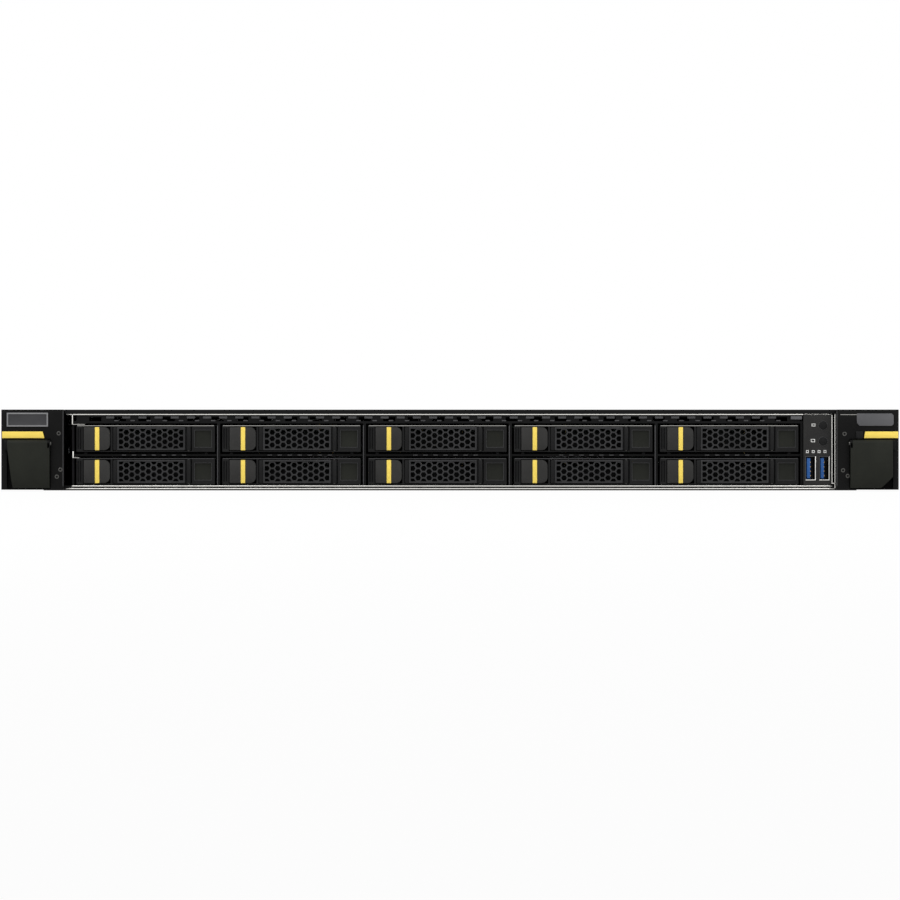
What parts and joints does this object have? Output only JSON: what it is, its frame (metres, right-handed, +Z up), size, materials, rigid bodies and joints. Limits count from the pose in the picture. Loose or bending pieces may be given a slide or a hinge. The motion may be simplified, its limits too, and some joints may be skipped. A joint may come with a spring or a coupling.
{
  "type": "1u rack server",
  "caption": "Flat rack server with two rows of hot-swap drive trays, striped release buttons, honeycomb levers, rack ears, fans and paired power supplies.",
  "frame": {"origin": "under the middle of the whole server, at the level of its bottom face", "axes": "+X to the right of someone facing the drive trays, +Y from the trays to the rear, +Z up"},
  "size_m": [0.4826, 0.765, 0.0435],
  "materials": {
    "galvanised_steel": "zinc-coated sheet, satin, cut edges bright",
    "black_paint": "fine matte powder coat",
    "black_plastic": "moulded, fine grain",
    "grey_plastic": "moulded, warm dark grey, fine grain",
    "steel": "bright nickel-plated",
    "circuit_board": "green solder mask",
    "aluminium": "extruded fins"
  },
  "bodies": {
    "chassis": {"chassis_base": "galvanised_steel", "drive_cage": "black_paint", "backplane": "circuit_board", "front_cover": "black_paint", "fan_frames": "black_plastic", "mainboard": "circuit_board", "cpu_heatsinks": "aluminium", "memory_modules": "black_plastic", "rear_io": "steel", "control_panel": "black_plastic", "usb_ports": "steel", "ear_brackets": "galvanised_steel", "ear_housings": "black_plastic", "screws": "steel"},
    "tray_1": {"tray_1": "black_plastic"},
    "lever_1": {"tray_lever_1": "black_plastic"},
    "latch_1": {"tray_latch_1": "grey_plastic"},
    "tray_2": {"tray_2": "black_plastic"},
    "lever_2": {"tray_lever_2": "black_plastic"},
    "latch_2": {"tray_latch_2": "grey_plastic"},
    "tray_3": {"tray_3": "black_plastic"},
    "lever_3": {"tray_lever_3": "black_plastic"},
    "latch_3": {"tray_latch_3": "grey_plastic"},
    "tray_4": {"tray_4": "black_plastic"},
    "lever_4": {"tray_lever_4": "black_plastic"},
    "latch_4": {"tray_latch_4": "grey_plastic"},
    "tray_5": {"tray_5": "black_plastic"},
    "lever_5": {"tray_lever_5": "black_plastic"},
    "latch_5": {"tray_latch_5": "grey_plastic"},
    "tray_6": {"tray_6": "black_plastic"},
    "lever_6": {"tray_lever_6": "black_plastic"},
    "latch_6": {"tray_latch_6": "grey_plastic"},
    "tray_7": {"tray_7": "black_plastic"},
    "lever_7": {"tray_lever_7": "black_plastic"},
    "latch_7": {"tray_latch_7": "grey_plastic"},
    "tray_8": {"tray_8": "black_plastic"},
    "lever_8": {"tray_lever_8": "black_plastic"},
    "latch_8": {"tray_latch_8": "grey_plastic"},
    "tray_9": {"tray_9": "black_plastic"},
    "lever_9": {"tray_lever_9": "black_plastic"},
    "latch_9": {"tray_latch_9": "grey_plastic"},
    "tray_10": {"tray_10": "black_plastic"},
    "lever_10": {"tray_lever_10": "black_plastic"},
    "latch_10": {"tray_latch_10": "grey_plastic"},
    "fan_rotor_1": {"fan_rotor_1": "black_plastic"},
    "fan_rotor_2": {"fan_rotor_2": "black_plastic"},
    "fan_rotor_3": {"fan_rotor_3": "black_plastic"},
    "fan_rotor_4": {"fan_rotor_4": "black_plastic"},
    "fan_rotor_5": {"fan_rotor_5": "black_plastic"},
    "fan_rotor_6": {"fan_rotor_6": "black_plastic"},
    "ear_latch_left": {"ear_latch_left": "grey_plastic"},
    "ear_latch_right": {"ear_latch_right": "grey_plastic"},
    "power_button": {"power_button": "black_plastic"},
    "locator_button": {"locator_button": "black_plastic"},
    "rear_cover": {"rear_cover": "galvanised_steel"},
    "cover_latch": {"cover_latch": "black_plastic"},
    "power_supply_1": {"power_supply_1": "galvanised_steel"},
    "power_supply_tab_1": {"power_supply_tab_1": "grey_plastic"},
    "power_supply_2": {"power_supply_2": "galvanised_steel"},
    "power_supply_tab_2": {"power_supply_tab_2": "grey_plastic"}
  },
  "joints": [
    {"name": "tray_1_slide", "type": "slide", "parent": "chassis", "child": "tray_1", "axis": [0, -1, 0], "range_m": [0, 0.11]},
    {"name": "lever_1_swing", "type": "hinge", "parent": "tray_1", "child": "lever_1", "pos_m": [-0.1409, -0.3725, 0.02785], "axis": [0, 0, 1], "range_deg": [0, 60]},
    {"name": "latch_1_press", "type": "slide", "parent": "tray_1", "child": "latch_1", "axis": [0, 1, 0], "range_m": [0, 0.002], "stiffness_N_per_m": 300},
    {"name": "tray_2_slide", "type": "slide", "parent": "chassis", "child": "tray_2", "axis": [0, -1, 0], "range_m": [0, 0.11]},
    {"name": "lever_2_swing", "type": "hinge", "parent": "tray_2", "child": "lever_2", "pos_m": [-0.0623, -0.3725, 0.02785], "axis": [0, 0, 1], "range_deg": [0, 60]},
    {"name": "latch_2_press", "type": "slide", "parent": "tray_2", "child": "latch_2", "axis": [0, 1, 0], "range_m": [0, 0.002], "stiffness_N_per_m": 300},
    {"name": "tray_3_slide", "type": "slide", "parent": "chassis", "child": "tray_3", "axis": [0, -1, 0], "range_m": [0, 0.11]},
    {"name": "lever_3_swing", "type": "hinge", "parent": "tray_3", "child": "lever_3", "pos_m": [0.0163, -0.3725, 0.02785], "axis": [0, 0, 1], "range_deg": [0, 60]},
    {"name": "latch_3_press", "type": "slide", "parent": "tray_3", "child": "latch_3", "axis": [0, 1, 0], "range_m": [0, 0.002], "stiffness_N_per_m": 300},
    {"name": "tray_4_slide", "type": "slide", "parent": "chassis", "child": "tray_4", "axis": [0, -1, 0], "range_m": [0, 0.11]},
    {"name": "lever_4_swing", "type": "hinge", "parent": "tray_4", "child": "lever_4", "pos_m": [0.0949, -0.3725, 0.02785], "axis": [0, 0, 1], "range_deg": [0, 60]},
    {"name": "latch_4_press", "type": "slide", "parent": "tray_4", "child": "latch_4", "axis": [0, 1, 0], "range_m": [0, 0.002], "stiffness_N_per_m": 300},
    {"name": "tray_5_slide", "type": "slide", "parent": "chassis", "child": "tray_5", "axis": [0, -1, 0], "range_m": [0, 0.11]},
    {"name": "lever_5_swing", "type": "hinge", "parent": "tray_5", "child": "lever_5", "pos_m": [0.1735, -0.3725, 0.02785], "axis": [0, 0, 1], "range_deg": [0, 60]},
    {"name": "latch_5_press", "type": "slide", "parent": "tray_5", "child": "latch_5", "axis": [0, 1, 0], "range_m": [0, 0.002], "stiffness_N_per_m": 300},
    {"name": "tray_6_slide", "type": "slide", "parent": "chassis", "child": "tray_6", "axis": [0, -1, 0], "range_m": [0, 0.11]},
    {"name": "lever_6_swing", "type": "hinge", "parent": "tray_6", "child": "lever_6", "pos_m": [-0.1409, -0.3725, 0.01015], "axis": [0, 0, 1], "range_deg": [0, 60]},
    {"name": "latch_6_press", "type": "slide", "parent": "tray_6", "child": "latch_6", "axis": [0, 1, 0], "range_m": [0, 0.002], "stiffness_N_per_m": 300},
    {"name": "tray_7_slide", "type": "slide", "parent": "chassis", "child": "tray_7", "axis": [0, -1, 0], "range_m": [0, 0.11]},
    {"name": "lever_7_swing", "type": "hinge", "parent": "tray_7", "child": "lever_7", "pos_m": [-0.0623, -0.3725, 0.01015], "axis": [0, 0, 1], "range_deg": [0, 60]},
    {"name": "latch_7_press", "type": "slide", "parent": "tray_7", "child": "latch_7", "axis": [0, 1, 0], "range_m": [0, 0.002], "stiffness_N_per_m": 300},
    {"name": "tray_8_slide", "type": "slide", "parent": "chassis", "child": "tray_8", "axis": [0, -1, 0], "range_m": [0, 0.11]},
    {"name": "lever_8_swing", "type": "hinge", "parent": "tray_8", "child": "lever_8", "pos_m": [0.0163, -0.3725, 0.01015], "axis": [0, 0, 1], "range_deg": [0, 60]},
    {"name": "latch_8_press", "type": "slide", "parent": "tray_8", "child": "latch_8", "axis": [0, 1, 0], "range_m": [0, 0.002], "stiffness_N_per_m": 300},
    {"name": "tray_9_slide", "type": "slide", "parent": "chassis", "child": "tray_9", "axis": [0, -1, 0], "range_m": [0, 0.11]},
    {"name": "lever_9_swing", "type": "hinge", "parent": "tray_9", "child": "lever_9", "pos_m": [0.0949, -0.3725, 0.01015], "axis": [0, 0, 1], "range_deg": [0, 60]},
    {"name": "latch_9_press", "type": "slide", "parent": "tray_9", "child": "latch_9", "axis": [0, 1, 0], "range_m": [0, 0.002], "stiffness_N_per_m": 300},
    {"name": "tray_10_slide", "type": "slide", "parent": "chassis", "child": "tray_10", "axis": [0, -1, 0], "range_m": [0, 0.11]},
    {"name": "lever_10_swing", "type": "hinge", "parent": "tray_10", "child": "lever_10", "pos_m": [0.1735, -0.3725, 0.01015], "axis": [0, 0, 1], "range_deg": [0, 60]},
    {"name": "latch_10_press", "type": "slide", "parent": "tray_10", "child": "latch_10", "axis": [0, 1, 0], "range_m": [0, 0.002], "stiffness_N_per_m": 300},
    {"name": "fan_1_spin", "type": "hinge", "parent": "chassis", "child": "fan_rotor_1", "pos_m": [-0.17, -0.186, 0.0213], "axis": [0, 1, 0], "continuous": true},
    {"name": "fan_2_spin", "type": "hinge", "parent": "chassis", "child": "fan_rotor_2", "pos_m": [-0.102, -0.186, 0.0213], "axis": [0, 1, 0], "continuous": true},
    {"name": "fan_3_spin", "type": "hinge", "parent": "chassis", "child": "fan_rotor_3", "pos_m": [-0.034, -0.186, 0.0213], "axis": [0, 1, 0], "continuous": true},
    {"name": "fan_4_spin", "type": "hinge", "parent": "chassis", "child": "fan_rotor_4", "pos_m": [0.034, -0.186, 0.0213], "axis": [0, 1, 0], "continuous": true},
    {"name": "fan_5_spin", "type": "hinge", "parent": "chassis", "child": "fan_rotor_5", "pos_m": [0.102, -0.186, 0.0213], "axis": [0, 1, 0], "continuous": true},
    {"name": "fan_6_spin", "type": "hinge", "parent": "chassis", "child": "fan_rotor_6", "pos_m": [0.17, -0.186, 0.0213], "axis": [0, 1, 0], "continuous": true},
    {"name": "ear_latch_left_flip", "type": "hinge", "parent": "chassis", "child": "ear_latch_left", "pos_m": [-0.22645, -0.3805, 0.0253], "axis": [-1, 0, 0], "range_deg": [0, 75]},
    {"name": "ear_latch_right_flip", "type": "hinge", "parent": "chassis", "child": "ear_latch_right", "pos_m": [0.22645, -0.3805, 0.0253], "axis": [-1, 0, 0], "range_deg": [0, 75]},
    {"name": "power_button_press", "type": "slide", "parent": "chassis", "child": "power_button", "axis": [0, 1, 0], "range_m": [0, 0.0012], "stiffness_N_per_m": 300},
    {"name": "locator_button_press", "type": "slide", "parent": "chassis", "child": "locator_button", "axis": [0, 1, 0], "range_m": [0, 0.0012], "stiffness_N_per_m": 300},
    {"name": "rear_cover_lift", "type": "slide", "parent": "chassis", "child": "rear_cover", "axis": [0, 0, 1], "range_m": [0, 0.12]},
    {"name": "cover_latch_lift", "type": "hinge", "parent": "rear_cover", "child": "cover_latch", "pos_m": [0, -0.1235, 0.0417], "axis": [1, 0, 0], "range_deg": [0, 80]},
    {"name": "power_supply_1_slide", "type": "slide", "parent": "chassis", "child": "power_supply_1", "axis": [0, 1, 0], "range_m": [0, 0.18]},
    {"name": "power_supply_tab_1_press", "type": "slide", "parent": "power_supply_1", "child": "power_supply_tab_1", "axis": [1, 0, 0], "range_m": [0, 0.0025], "stiffness_N_per_m": 500},
    {"name": "power_supply_2_slide", "type": "slide", "parent": "chassis", "child": "power_supply_2", "axis": [0, 1, 0], "range_m": [0, 0.18]},
    {"name": "power_supply_tab_2_press", "type": "slide", "parent": "power_supply_2", "child": "power_supply_tab_2", "axis": [1, 0, 0], "range_m": [0, 0.0025], "stiffness_N_per_m": 500}
  ]
}
